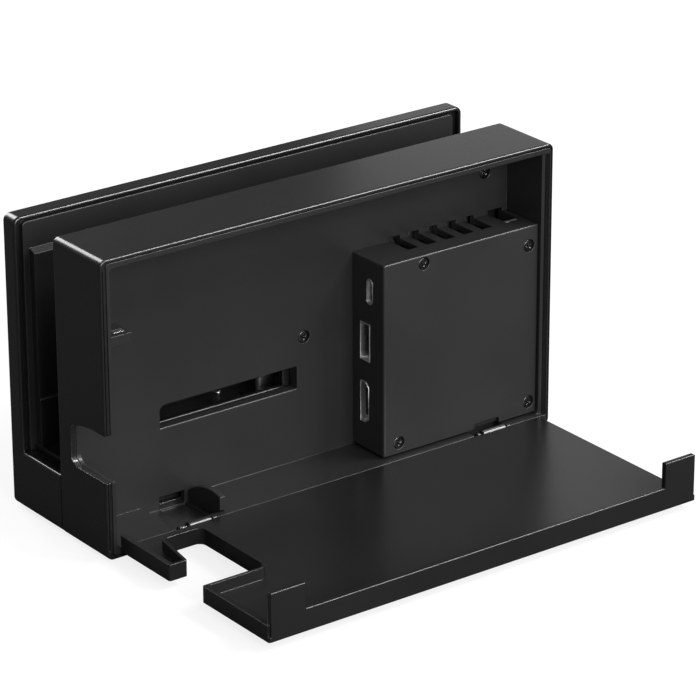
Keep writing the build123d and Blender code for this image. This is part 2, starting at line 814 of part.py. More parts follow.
# Cavity tray: nested in the rear shell, with the rim, window, shelf and hinge recesses
with BuildPart() as cavity_tray:
    plate(
        -(half - rim_lip_far - rim_groove),
        half - rim_lip_near - rim_groove,
        z_low + rim_lip_top + rim_groove,
        z_rear_top - rim_lip_top - rim_groove,
        rim_lip_corner - rim_groove,
        y_shell_rear,
        y_rim,
    )
    plate(-x_tray, x_tray, z_tray_low, z_tray_top, shell_inner_corner - fit_gap, y_tray_back, y_shell_rear)
    block(
        x_hook - recess_wall,
        x_recess_near + recess_wall,
        y_tray_back,
        y_rim,
        z_low,
        z_cavity,
    )
    block(
        x_recess_far - recess_wall,
        x_recess_far_end + recess_wall,
        y_rim - recess_width_far - recess_wall,
        y_rim,
        z_low,
        z_cavity,
    )
    plate(x_far, x_near, z_cavity, z_cavity_top, tray_corner, y_wall, y_rim, mode=Mode.SUBTRACT)
    fillet(cavity_tray.faces().sort_by(Axis.Y)[-1].inner_wires()[0].edges(), rim_inner_round)
    # Large rounding of the rim at the far end
    with BuildSketch(Plane.XY.offset(z_cavity)) as far_rounding:
        with BuildLine():
            Polyline(
                (x_far - rim_far_round, y_rim),
                (x_far - rim_far_round, y_rim + 1),
                (x_far + 1, y_rim + 1),
                (x_far + 1, y_rim - rim_far_round),
                (x_far, y_rim - rim_far_round),
            )
            RadiusArc(
                (x_far, y_rim - rim_far_round),
                (x_far - rim_far_round, y_rim),
                rim_far_round,
            )
        make_face()
    extrude(amount=z_cavity_top - z_cavity, mode=Mode.SUBTRACT)
    # Collar behind the window
    block(
        x_window_far - window_collar_wall,
        x_window_near + window_collar_wall,
        y_shell_inner + window_collar_gap,
        y_tray_back,
        z_window - window_collar_wall,
        z_window_top + window_collar_wall,
    )
    with BuildSketch(Plane.XZ.offset(-y_shell_inner)) as window:
        with Locations(((x_window_far + x_window_near) / 2, z_window + window_height / 2)):
            Rectangle(window_length, window_height)
        fillet(window.vertices().sort_by_distance((x_window_near, z_window_top, 0))[0], window_corner)
    extrude(amount=y_shell_inner - y_wall, mode=Mode.SUBTRACT)
    window_edges = cavity_tray.edges().filter_by(Axis.X)
    fillet(window_edges.sort_by_distance((0, y_wall, z_window))[0], window_round)
    # Shelf with a shallow pocket for its small plate
    block(
        x_near - shelf_length,
        x_near,
        y_wall,
        y_wall + shelf_depth,
        z_cavity + shelf_height,
        z_cavity + shelf_height + shelf_thick,
    )
    block(
        x_near - shelf_length + mark_plate_edge,
        x_near - shelf_length + mark_plate_edge + mark_plate_length,
        y_wall + mark_plate_back,
        y_wall + mark_plate_back + mark_plate_width,
        z_cavity + shelf_height + shelf_thick - mark_plate_sunk,
        z_cavity + shelf_height + shelf_thick,
        mode=Mode.SUBTRACT,
    )
    # Screws through the cavity wall
    for x, z in housing_screw_places:
        rod_y(x, z, boss_radius, y_shell_inner + shield_thick + fit_gap, y_tray_back)
        rod_y(x, z, screw_radius + thread_gap, y_shell_inner, y_wall, mode=Mode.SUBTRACT)
    for x, z in wall_screw_places:
        rod_y(x, z, head_radius + recess_gap, y_wall - head_recess, y_wall, mode=Mode.SUBTRACT)
        rod_y(x, z, screw_radius + pass_gap, y_tray_back, y_wall, mode=Mode.SUBTRACT)
    # Cable notch, ribbon slot and the nicks over the housing's vents
    cut_notch(x_near - 1, half + 1)
    block(
        x_ports - ribbon_offset - ribbon_thick - ribbon_gap,
        x_ports - ribbon_offset + ribbon_gap,
        y_tray_back,
        y_wall,
        z_plug_board - ribbon_gap,
        z_plug_board + ribbon_width + ribbon_gap,
        mode=Mode.SUBTRACT,
    )
    for x0, x1 in vent_spans:
        block(
            x0,
            x1,
            y_tray_back,
            y_wall,
            z_housing_top - vent_depth,
            z_housing_top + wall_nick,
            mode=Mode.SUBTRACT,
        )
    # Recesses in the floor for the hinges and the hook
    block(
        x_recess_near_end,
        x_recess_near,
        y_recess_inner - 1,
        y_rim + 1,
        z_recess,
        z_cavity + 1,
        mode=Mode.SUBTRACT,
    )
    block(x_hook, x_recess_near, y_wall, y_recess_inner, z_recess, z_cavity + 1, mode=Mode.SUBTRACT)
    block(
        x_recess_far,
        x_recess_far_end,
        y_rim - recess_width_far,
        y_rim + 1,
        z_recess,
        z_cavity + 0.2,
        mode=Mode.SUBTRACT,
    )
    block(
        x_recess_near - deep_pocket_margin - deep_pocket_length,
        x_recess_near - deep_pocket_margin,
        y_wall,
        y_wall + deep_pocket_width,
        z_recess - deep_pocket_depth,
        z_recess,
        mode=Mode.SUBTRACT,
    )
    block(
        x_recess_near - deep_pocket_margin - deep_pocket_length,
        x_recess_near - deep_pocket_margin,
        y_tray_back,
        y_wall,
        z_recess,
        z_recess + deep_pocket_height,
        mode=Mode.SUBTRACT,
    )
    # Hinge lugs: a free one near one end of each recess and one in the other end's wall
    for x_end, x_start in ((x_recess_near_end, x_recess_near), (x_recess_far, x_recess_far_end)):
        rod_x(y_axis, z_axis, lug_radius, x_start - lug_margin - lug_thick, x_start - lug_margin)
        block(
            x_start - lug_margin - lug_thick,
            x_start - lug_margin,
            y_axis - lug_radius,
            y_rim,
            z_recess - 0.2,
            z_axis,
        )
        rod_x(y_axis, z_axis, lug_radius, x_end - recess_wall, x_end)
        block(x_end - recess_wall, x_end, y_axis - lug_radius, y_rim, z_cavity - 1, z_axis)
        rod_x(
            y_axis,
            z_axis,
            pin_radius + pin_gap,
            x_end - pin_seat,
            x_start - lug_margin,
            mode=Mode.SUBTRACT,
        )
cavity_tray.part.label = "cavity_tray"
export_step(cavity_tray.part, "parts/cavity_tray.step")

# Small bright plate on the shelf
with BuildPart() as mark_plate:
    block(
        x_near - shelf_length + mark_plate_edge,
        x_near - shelf_length + mark_plate_edge + mark_plate_length,
        y_wall + mark_plate_back,
        y_wall + mark_plate_back + mark_plate_width,
        z_cavity + shelf_height + shelf_thick - mark_plate_sunk,
        z_cavity + shelf_height + shelf_thick - mark_plate_sunk + mark_plate_thick,
    )
mark_plate.part.label = "mark_plate"
export_step(mark_plate.part, "parts/mark_plate.step")

# Cable hook: an arched blade that stands in the near recess
with BuildPart() as cable_hook:
    y_hook_end = y_rim - hook_front
    z_hook_end = z_cavity + hook_end_lift
    with BuildSketch(Plane.YZ.offset(x_hook + fit_gap)) as hook_side:
        with BuildLine():
            Polyline(
                (y_wall + fit_gap, z_cavity + hook_back_height),
                (y_wall + fit_gap, z_recess),
                (y_hook_end - hook_under, z_recess),
                (y_hook_end, z_hook_end),
                (y_hook_end, z_hook_end + hook_end_height),
            )
            ThreePointArc(
                (y_hook_end, z_hook_end + hook_end_height),
                (y_wall + hook_crest, z_cavity + hook_top),
                (y_wall + fit_gap, z_cavity + hook_back_height),
            )
        make_face()
    extrude(amount=hook_thick)
    fillet(cable_hook.edges().group_by(Axis.Z)[-1], hook_round)
cable_hook.part.label = "cable_hook"
export_step(cable_hook.part, "parts/cable_hook.step")

# Cover, lying open and level, hinged at its near edge
with BuildPart() as rear_cover:
    with BuildSketch(Plane.XY.offset(z_cover)) as panel_outline:
        with Locations(((x_cover_near + x_cover_far) / 2, (y_cover + y_cover_end) / 2)):
            Rectangle(x_cover_near - x_cover_far, y_cover_end - y_cover)
        fillet(panel_outline.vertices().group_by(Axis.Y)[-1], cover_corner)
    extrude(amount=cover_thick)
    # Wall along the near side, lip and the two tall tabs at the free edge
    block(
        x_cover_near - cover_wall,
        x_cover_near,
        y_cover,
        y_cover_end - cover_corner,
        z_cover,
        z_cover + cover_wall_height,
    )
    block(
        x_cover_far + cover_corner,
        x_cover_near - cover_corner,
        y_cover_end - cover_lip,
        y_cover_end,
        z_cover,
        z_cover + cover_lip_height,
    )
    for x0, x1 in (
        (x_cover_near - cover_tab_near, x_cover_near - cover_corner),
        (x_cover_far + cover_corner, x_cover_far + cover_tab_far),
    ):
        block(x0, x1, y_cover_end - cover_lip, y_cover_end, z_cover, z_cover + cover_tab_height)
    fillet(rear_cover.edges().group_by(Axis.Z)[-1], cover_top_round)
    z_lip = z_cover + cover_lip_height
    lip_edges = rear_cover.edges().filter_by(Axis.X).filter_by_position(Axis.Z, z_lip - 0.01, z_lip + 0.01)
    fillet(lip_edges, cover_top_round)
    # Hooked cable notch with a thin wall round it
    y_tongue = y_axis + cut_start + tongue_length
    root = (x_cover_near - tongue_root, y_axis + cut_start, 0)
    with BuildSketch(Plane.XY.offset(z_cover)) as cut_outline:
        with BuildLine():
            Polyline(
                (x_cover_near - cut_depth, y_axis + cut_start),
                (x_cover_near - cut_depth, y_axis + cut_start + cut_length),
                (x_cover_near + cut_past, y_axis + cut_start + cut_length),
                (x_cover_near + cut_past, y_tongue),
                (x_cover_near - tongue_tip, y_tongue),
                (x_cover_near - tongue_root, y_axis + cut_start),
                close=True,
            )
        make_face()
        fillet(cut_outline.vertices().group_by(Axis.X)[0], cut_corner)
        fillet(cut_outline.vertices().sort_by_distance(root)[0], cut_root_round)
    with BuildSketch(Plane.XY.offset(z_cover)) as cut_walls:
        add(cut_outline.sketch.faces())
        offset(amount=cut_wall)
        with Locations((x_cover_near - cut_depth, y_axis + cut_start + cut_length / 2)):
            Rectangle(2 * cut_depth, 2 * cut_length, mode=Mode.INTERSECT)
    extrude(cut_walls.sketch, amount=cover_wall_height)
    extrude(cut_outline.sketch, amount=cover_wall_height + 1, mode=Mode.SUBTRACT)
    for x, y in (
        (x_cover_near, y_tongue),
        (x_cover_near - tongue_tip, y_tongue),
        (x_cover_near, y_axis + cut_start + cut_length),
    ):
        upright = rear_cover.edges().filter_by(Axis.Z)
        fillet(upright.sort_by_distance((x, y, z_cover + cover_thick))[0], tongue_round)
    # Hinge barrels
    for x0, x1 in (
        (x_recess_near_end + barrel_margin, x_recess_near_end + barrel_margin + barrel_length),
        (x_recess_far + barrel_margin, x_recess_far + barrel_margin + barrel_length_far),
    ):
        rod_x(y_axis, z_axis, barrel_radius, x0, x1)
        block(x0, x1, y_axis, y_cover + 0.5, z_cover, z_cover + cover_thick)
        rod_x(y_axis, z_axis, pin_radius, x0, x1, mode=Mode.SUBTRACT)
rear_cover.part.label = "rear_cover"
export_step(rear_cover.part, "parts/rear_cover.step")

# Hinge pins, held in the cover's barrels and turning in the tray's lugs
with BuildPart() as hinge_pin_near:
    rod_x(
        y_axis,
        z_axis,
        pin_radius,
        x_recess_near_end - pin_seat + fit_gap,
        x_recess_near - lug_margin,
    )
hinge_pin_near.part.label = "hinge_pin_near"
export_step(hinge_pin_near.part, "parts/hinge_pin_near.step")

with BuildPart() as hinge_pin_far:
    rod_x(
        y_axis,
        z_axis,
        pin_radius,
        x_recess_far - pin_seat + fit_gap,
        x_recess_far_end - lug_margin,
    )
hinge_pin_far.part.label = "hinge_pin_far"
export_step(hinge_pin_far.part, "parts/hinge_pin_far.step")

# Middles of the ports in Y and Z
y_power = y_board - power_short / 2
z_power = z_housing_top - power_drop
y_usb = y_board - usb_lift - usb_short / 2
y_video = y_board - video_lift - video_short / 2
z_video = z_housing + video_height
z_usb = (z_power + z_video) / 2 + usb_shift


def slot_shape(y, z, short, long, x0, x1, mode=Mode.ADD):
    """Rounded slot in Y and Z, drawn out along X."""
    with BuildSketch(Plane.YZ.offset(x0)) as outline:
        with Locations((y, z)):
            SlotOverall(long, short, rotation=90)
    extrude(outline.sketch, amount=x1 - x0, mode=mode)


def square_shape(y, z, short, long, x0, x1, mode=Mode.ADD):
    """Plain rectangle in Y and Z, drawn out along X."""
    with BuildSketch(Plane.YZ.offset(x0)) as outline:
        with Locations((y, z)):
            Rectangle(short, long)
    extrude(outline.sketch, amount=x1 - x0, mode=mode)


def video_shape(grow, x0, x1, mode=Mode.ADD):
    """Rectangle with its two corners towards the board cut off, drawn out along X."""
    deep = video_short / 2 + grow
    tall = video_long / 2 + grow
    with BuildSketch(Plane.YZ.offset(x0)) as outline:
        with BuildLine():
            Polyline(
                (y_video - deep, z_video - tall),
                (y_video - deep, z_video + tall),
                (y_video + deep - video_slope, z_video + tall),
                (y_video + deep, z_video + tall - video_slope),
                (y_video + deep, z_video - tall + video_slope),
                (y_video + deep - video_slope, z_video - tall),
                close=True,
            )
        make_face()
    extrude(outline.sketch, amount=x1 - x0, mode=mode)


# Port housing: box with posts for its screws, open towards the cavity wall
with BuildPart() as port_housing:
    block(x_housing, x_ports, y_wall, y_face, z_housing, z_housing_top)
    fillet(
        port_housing.edges().filter_by(Axis.Z).sort_by_distance((x_ports, y_face, z_housing))[0],
        housing_round,
    )
    fillet(
        port_housing.edges().filter_by(Axis.X).sort_by_distance((x_housing, y_face, z_housing_top))[0],
        housing_top_round,
    )
    fillet(
        port_housing.edges().filter_by(Axis.X).sort_by_distance((x_housing, y_face, z_housing))[0],
        housing_low_round,
    )
    block(
        x_housing + housing_wall,
        x_ports - housing_wall,
        y_wall,
        y_face - housing_wall,
        z_housing + housing_wall,
        z_housing_top - housing_wall,
        mode=Mode.SUBTRACT,
    )
    for x, z in housing_screw_places:
        rod_y(x, z, screw_radius + post_wall, y_wall, y_face - housing_wall / 2)
    for x, z in board_screw_places:
        rod_y(x, z, board_boss, y_boss_seat, y_face - housing_wall / 2)
        rod_y(
            x,
            z,
            screw_radius + thread_gap,
            y_boss_seat,
            y_boss_seat + board_screw_length - board_thick + screw_tip_gap,
            mode=Mode.SUBTRACT,
        )
    for x0, x1 in vent_spans:
        block(
            x0,
            x1,
            y_wall,
            y_wall + vent_reach,
            z_housing_top - vent_depth,
            z_housing_top,
            mode=Mode.SUBTRACT,
        )
    for x, z in housing_screw_places:
        rod_y(x, z, head_radius + recess_gap, y_face - head_recess, y_face, mode=Mode.SUBTRACT)
        rod_y(x, z, screw_radius + pass_gap, y_wall, y_face, mode=Mode.SUBTRACT)
    slot_shape(
        y_power,
        z_power,
        power_short + 2 * port_gap,
        power_long + 2 * port_gap,
        x_ports - housing_wall,
        x_ports,
        mode=Mode.SUBTRACT,
    )
    square_shape(
        y_usb,
        z_usb,
        usb_short + 2 * port_gap,
        usb_long + 2 * port_gap,
        x_ports - housing_wall,
        x_ports,
        mode=Mode.SUBTRACT,
    )
    video_shape(port_gap, x_ports - housing_wall, x_ports, mode=Mode.SUBTRACT)
    block(
        x_recess_far + hinge_cut_far_margin,
        x_recess_far_end - hinge_cut_margin,
        y_face - hinge_cut_depth,
        y_face,
        z_housing,
        z_housing + hinge_cut_height,
        mode=Mode.SUBTRACT,
    )
port_housing.part.label = "port_housing"
export_step(port_housing.part, "parts/port_housing.step")

# Main board, with clearance round the housing's posts
x_board_left = x_ports - housing_wall - board_gap
x_board_right = x_housing + housing_wall + board_gap
z_board = z_housing + housing_wall + board_gap
z_board_top = z_housing_top - housing_wall - board_gap
with BuildPart() as main_board:
    block(x_board_right, x_board_left, y_board, y_boss_seat, z_board, z_board_top)
    for x, z in housing_screw_places:
        rod_y(x, z, screw_radius + post_wall + board_gap, y_board, y_boss_seat, mode=Mode.SUBTRACT)
    for x, z in board_screw_places:
        rod_y(x, z, screw_radius + pass_gap, y_board, y_boss_seat, mode=Mode.SUBTRACT)
main_board.part.label = "main_board"
export_step(main_board.part, "parts/main_board.step")

z_small_chip = z_housing_top - small_chip_drop
z_chip = z_small_chip - chip_gap - chip_length
with BuildPart() as video_chip:
    block(
        x_housing + chip_inset,
        x_housing + chip_inset + chip_length,
        y_board - chip_thick,
        y_board,
        z_chip,
        z_chip + chip_length,
    )
video_chip.part.label = "video_chip"
export_step(video_chip.part, "parts/video_chip.step")

with BuildPart() as power_chip:
    block(
        x_housing + chip_inset,
        x_housing + chip_inset + small_chip_length,
        y_board - small_chip_thick,
        y_board,
        z_small_chip,
        z_small_chip + small_chip_length,
    )
power_chip.part.label = "power_chip"
export_step(power_chip.part, "parts/power_chip.step")

with BuildPart() as board_capacitors:
    for i in range(3):
        rod_y(
            x_housing + capacitor_inset,
            z_housing + capacitor_rise + i * capacitor_pitch,
            capacitor_radius,
            y_board - capacitor_height,
            y_board,
        )
board_capacitors.part.label = "board_capacitors"
export_step(board_capacitors.part, "parts/board_capacitors.step")

# Bright clip that stands in the wide vent and is soldered to the board's upper edge
with BuildPart() as ground_clip:
    x_clip = x_housing + housing_wall + clip_side_gap
    block(
        x_clip,
        x_clip + clip_length,
        y_wall + vent_reach - clip_gap - clip_thick,
        y_board,
        z_board_top - clip_foot / 2,
        z_board_top + clip_foot / 2 - 0.5,
    )
    block(
        x_clip,
        x_clip + clip_length,
        y_wall + vent_reach - clip_gap - clip_thick,
        y_wall + vent_reach - clip_gap,
        z_board_top - clip_foot / 2,
        z_housing_top - clip_top,
    )
ground_clip.part.label = "ground_clip"
export_step(ground_clip.part, "parts/ground_clip.step")

# Small rounded power port: metal shell, then its tongue and back
x_mouth = x_ports - port_sunk
with BuildPart() as power_port_shell:
    slot_shape(y_power, z_power, power_short, power_long, x_mouth - power_depth, x_mouth)
    slot_shape(
        y_power,
        z_power,
        power_short - 2 * power_shell,
        power_long - 2 * power_shell,
        x_mouth - power_depth + power_shell,
        x_mouth,
        mode=Mode.SUBTRACT,
    )
power_port_shell.part.label = "power_port_shell"
export_step(power_port_shell.part, "parts/power_port_shell.step")

with BuildPart() as power_port_core:
    slot_shape(
        y_power,
        z_power,
        power_short - 2 * power_shell - 2 * socket_core_gap,
        power_long - 2 * power_shell - 2 * socket_core_gap,
        x_mouth - power_depth + power_shell,
        x_mouth - power_depth + power_shell + socket_back,
    )
    square_shape(
        y_power,
        z_power,
        power_tongue,
        power_long - power_tongue_margin,
        x_mouth - power_depth + power_shell,
        x_mouth - power_tongue_sunk,
    )
power_port_core.part.label = "power_port_core"
export_step(power_port_core.part, "parts/power_port_core.step")

# Flat rectangular port with slotted metal shell and an offset tongue
with BuildPart() as usb_port_shell:
    square_shape(y_usb, z_usb, usb_short, usb_long, x_mouth - usb_depth, x_mouth)
    square_shape(
        y_usb,
        z_usb,
        usb_short - 2 * usb_shell,
        usb_long - 2 * usb_shell,
        x_mouth - usb_depth + usb_shell,
        x_mouth,
        mode=Mode.SUBTRACT,
    )
    for dz in (-1, 1):
        block(
            x_mouth - usb_spring_end,
            x_mouth - usb_spring_start,
            y_usb - usb_short / 2,
            y_usb + usb_short / 2,
            z_usb + dz * usb_long / 4 - usb_spring_half,
            z_usb + dz * usb_long / 4 + usb_spring_half,
            mode=Mode.SUBTRACT,
        )
        block(
            x_mouth - usb_depth + leg_inset,
            x_mouth - usb_depth + leg_inset + leg_length,
            y_usb + usb_short / 2 - usb_shell / 2,
            y_board,
            z_usb + dz * (usb_long / 2 - usb_shell / 2) - usb_shell / 2,
            z_usb + dz * (usb_long / 2 - usb_shell / 2) + usb_shell / 2,
        )
usb_port_shell.part.label = "usb_port_shell"
export_step(usb_port_shell.part, "parts/usb_port_shell.step")

with BuildPart() as usb_port_core:
    square_shape(
        y_usb,
        z_usb,
        usb_short - 2 * usb_shell - 2 * socket_core_gap,
        usb_long - 2 * usb_shell - 2 * socket_core_gap,
        x_mouth - usb_depth + usb_shell,
        x_mouth - usb_depth + usb_shell + socket_back,
    )
    square_shape(
        y_usb + usb_tongue_shift,
        z_usb,
        usb_tongue,
        usb_long - usb_tongue_margin,
        x_mouth - usb_depth + usb_shell,
        x_mouth - usb_tongue_sunk,
    )
usb_port_core.part.label = "usb_port_core"
export_step(usb_port_core.part, "parts/usb_port_core.step")

# Video port with two corners cut off
with BuildPart() as video_port_shell:
    video_shape(0.0, x_mouth - video_depth, x_mouth)
    video_shape(-video_shell, x_mouth - video_depth + video_shell, x_mouth, mode=Mode.SUBTRACT)
    for dz in (-1, 1):
        block(
            x_mouth - video_depth + leg_inset,
            x_mouth - video_depth + leg_inset + leg_length,
            y_video + video_short / 2 - video_shell / 2,
            y_board,
            z_video + dz * (video_long / 2 - video_slope - leg_inset) - video_shell / 2,
            z_video + dz * (video_long / 2 - video_slope - leg_inset) + video_shell / 2,
        )
video_port_shell.part.label = "video_port_shell"
export_step(video_port_shell.part, "parts/video_port_shell.step")

with BuildPart() as video_port_core:
    video_shape(
        -video_shell - socket_core_gap,
        x_mouth - video_depth + video_shell,
        x_mouth - video_depth + video_shell + socket_back,
    )
    square_shape(
        y_video,
        z_video,
        video_tongue,
        video_long - video_tongue_margin,
        x_mouth - video_depth + video_shell,
        x_mouth - video_tongue_sunk,
    )
video_port_core.part.label = "video_port_core"
export_step(video_port_core.part, "parts/video_port_core.step")

# Steel bracket under the slot floor
with BuildPart() as carrier_bracket:
    block(
        -(support_x + bracket_end),
        support_x + bracket_end,
        y_plug - carrier_flange_wide / 2,
        y_plug + carrier_flange_wide / 2,
        z_bracket_low,
        z_bracket,
    )
    for side in (-1, 1):
        rod_z(
            side * support_x,
            y_plug,
            screw_radius + pass_gap,
            z_bracket_low,
            z_bracket,
            mode=Mode.SUBTRACT,
        )
    block(
        -(plug_long / 2 + bracket_hole_gap),
        plug_long / 2 + bracket_hole_gap,
        y_plug - plug_wide / 2 - bracket_hole_gap,
        y_plug + plug_wide / 2 + bracket_hole_gap,
        z_bracket_low,
        z_bracket,
        mode=Mode.SUBTRACT,
    )
carrier_bracket.part.label = "carrier_bracket"
export_step(carrier_bracket.part, "parts/carrier_bracket.step")

# Carrier of the plug, standing on the bracket and reaching through the slot floor
with BuildPart() as plug_carrier:
    block(
        -carrier_flange_long / 2,
        carrier_flange_long / 2,
        y_plug - carrier_flange_wide / 2,
        y_plug + carrier_flange_wide / 2,
        z_bracket,
        z_bracket + carrier_flange_thick,
    )
    with BuildSketch(Plane.XY.offset(z_bracket)) as carrier_neck:
        with Locations((0, y_plug)):
            RectangleRounded(
                opening_long - 2 * opening_gap,
                opening_wide - 2 * opening_gap,
                opening_corner - opening_gap,
            )
    extrude(amount=z_carrier_top - z_bracket)
    with BuildSketch(Plane.XY.offset(z_bracket)) as plug_hole:
        with Locations((0, y_plug)):
            SlotOverall(plug_long + 2 * plug_gap, plug_wide + 2 * plug_gap)
    extrude(amount=z_carrier_top - z_bracket, mode=Mode.SUBTRACT)
plug_carrier.part.label = "plug_carrier"
export_step(plug_carrier.part, "parts/plug_carrier.step")

# Plug that stands in the slot
with BuildPart() as console_plug:
    with BuildSketch(Plane.XY.offset(z_plug_board)) as plug_body:
        with Locations((0, y_plug)):
            SlotOverall(plug_long, plug_wide)
    extrude(amount=z_plug_top - z_plug_board)
    with BuildSketch(Plane.XY.offset(z_plug_top - plug_mouth)) as plug_mouth_outline:
        with Locations((0, y_plug)):
            SlotOverall(plug_long - 2 * plug_wall, plug_wide - 2 * plug_wall)
    extrude(amount=plug_mouth, mode=Mode.SUBTRACT)
console_plug.part.label = "console_plug"
export_step(console_plug.part, "parts/console_plug.step")

with BuildPart() as locating_pins:
    for side in (-1, 1):
        rod_z(
            side * locating_pin_spacing / 2,
            y_plug,
            locating_pin_radius,
            z_bracket,
            z_floor + locating_pin_proud,
        )
    fillet(locating_pins.edges().group_by(Axis.Z)[-1], locating_pin_radius / 2)
locating_pins.part.label = "locating_pins"
export_step(locating_pins.part, "parts/locating_pins.step")

with BuildPart() as plug_board:
    block(
        -plug_board_long / 2,
        plug_board_long / 2,
        y_plug - plug_board_wide / 2,
        y_plug + plug_board_wide / 2,
        z_plug_board - plug_board_thick,
        z_plug_board,
    )
plug_board.part.label = "plug_board"
export_step(plug_board.part, "parts/plug_board.step")

# Folded ribbon: back through the shell, along behind the cavity wall, then out to the board
y_ribbon = y_shell_inner + ribbon_stand
x_ribbon = x_ports - ribbon_offset
with BuildPart() as flat_cable:
    block(
        -ribbon_width / 2,
        ribbon_width / 2,
        y_plug + plug_wide / 2 + ribbon_start,
        y_ribbon + ribbon_thick,
        z_plug_board,
        z_plug_board + ribbon_thick,
    )
    block(
        x_ribbon - ribbon_thick,
        ribbon_width / 2,
        y_ribbon,
        y_ribbon + ribbon_thick,
        z_plug_board,
        z_plug_board + ribbon_width,
    )
    block(
        x_ribbon - ribbon_thick,
        x_ribbon,
        y_ribbon,
        y_board,
        z_plug_board,
        z_plug_board + ribbon_width,
    )
flat_cable.part.label = "flat_cable"
export_step(flat_cable.part, "parts/flat_cable.step")

# Thin steel plate on the rear shell's front wall, clear of the window
with BuildPart() as shield_plate:
    block(
        -(half - shield_end),
        half - shield_end,
        y_shell_inner,
        y_shell_inner + shield_thick,
        z_cavity + shield_low,
        z_rear_top - shield_top,
    )
    for x, z in wall_screw_places:
        rod_y(
            x,
            z,
            boss_radius + pass_gap,
            y_shell_inner,
            y_shell_inner + shield_thick,
            mode=Mode.SUBTRACT,
        )
    block(
        x_window_far - window_margin,
        x_window_near + window_margin,
        y_shell_inner,
        y_shell_inner + shield_thick,
        z_window - window_margin,
        z_window_top + window_margin,
        mode=Mode.SUBTRACT,
    )
shield_plate.part.label = "shield_plate"
export_step(shield_plate.part, "parts/shield_plate.step")

# Screws, each kind in one group
with BuildPart() as base_screws:
    for x, y in base_screw_places:
        screw_z(x, y, z_low + head_recess, base_screw_length)
base_screws.part.label = "base_screws"
export_step(base_screws.part, "parts/base_screws.step")

with BuildPart() as joining_screws:
    for x, z in joining_places:
        screw_y(x, z, y_shell_inner, joining_screw_length, 1)
joining_screws.part.label = "joining_screws"
export_step(joining_screws.part, "parts/joining_screws.step")

with BuildPart() as wall_screws:
    for x, z in wall_screw_places:
        screw_y(x, z, y_wall - head_recess, wall_screw_length, 1)
wall_screws.part.label = "wall_screws"
export_step(wall_screws.part, "parts/wall_screws.step")

with BuildPart() as housing_screws:
    for x, z in housing_screw_places:
        screw_y(x, z, y_face - head_recess, y_face - head_recess - y_tray_back + housing_screw_bite, 1)
housing_screws.part.label = "housing_screws"
export_step(housing_screws.part, "parts/housing_screws.step")

with BuildPart() as board_screws:
    for x, z in board_screw_places:
        screw_y(x, z, y_board, board_screw_length, -1)
board_screws.part.label = "board_screws"
export_step(board_screws.part, "parts/board_screws.step")

with BuildPart() as bracket_screws:
    for side in (-1, 1):
        screw_z(side * support_x, y_plug, z_bracket_low, bracket_screw_length)
bracket_screws.part.label = "bracket_screws"
export_step(bracket_screws.part, "parts/bracket_screws.step")

# Rubber feet, two under the base and two under the rear body
with BuildPart() as rubber_feet:
    for x, y in foot_places:
        rod_z(x, y, foot_radius, 0, foot_thick)
rubber_feet.part.label = "rubber_feet"
export_step(rubber_feet.part, "parts/rubber_feet.step")
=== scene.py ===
import json
import math

import bmesh
import bpy
from mathutils import Matrix, Vector


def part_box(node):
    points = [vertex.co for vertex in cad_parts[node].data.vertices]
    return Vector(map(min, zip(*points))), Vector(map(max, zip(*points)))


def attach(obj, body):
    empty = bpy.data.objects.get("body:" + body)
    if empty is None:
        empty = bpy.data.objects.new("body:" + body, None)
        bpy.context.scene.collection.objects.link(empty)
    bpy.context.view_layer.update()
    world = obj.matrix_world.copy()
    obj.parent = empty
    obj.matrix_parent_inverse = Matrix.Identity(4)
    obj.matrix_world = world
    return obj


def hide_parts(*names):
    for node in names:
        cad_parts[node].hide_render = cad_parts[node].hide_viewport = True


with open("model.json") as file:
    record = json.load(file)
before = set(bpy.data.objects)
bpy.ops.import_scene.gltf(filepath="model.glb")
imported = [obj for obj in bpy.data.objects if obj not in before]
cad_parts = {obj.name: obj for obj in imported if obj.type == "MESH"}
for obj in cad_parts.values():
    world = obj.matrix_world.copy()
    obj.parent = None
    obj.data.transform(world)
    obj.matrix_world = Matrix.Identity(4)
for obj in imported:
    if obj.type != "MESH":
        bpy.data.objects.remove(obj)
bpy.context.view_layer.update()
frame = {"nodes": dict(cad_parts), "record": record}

MM = 0.001
nodes = frame["nodes"]

# Light: tone of the paper floor, its darker tone in reflections, its own glow for the camera, and
# what the world adds to diffuse and to glossy light
FLOOR_TONE = 0.17
FLOOR_GLOSS = 0.03
FLOOR_GLOW = 0.82
WORLD_FILL = 0.15
WORLD_GLOSS = 0.1

# Lamps: direction from the object, distance, width, height and radiance
LAMPS = {
    "edge_box": ((-0.556, 0.40, 0.73), 1.6, 0.8, 0.34, 24.0),
    "behind_box": ((0.05, 0.90, 0.42), 1.4, 1.0, 0.7, 8.0),
    "far_card": ((-0.62, -0.66, 0.30), 0.36, 0.13, 0.14, 0.5),
    "near_side": ((0.35, 0.90, 0.12), 1.4, 0.4, 0.3, 5.0),
    "front_fill": ((0.05, -0.88, 0.45), 1.6, 0.8, 0.8, 9.0),
}
LAMP_TARGET = Vector((-0.02, 0.05, 0.04))

# Degrees that each screw of a set is turned further than the one before it
SCREW_TURN = 37


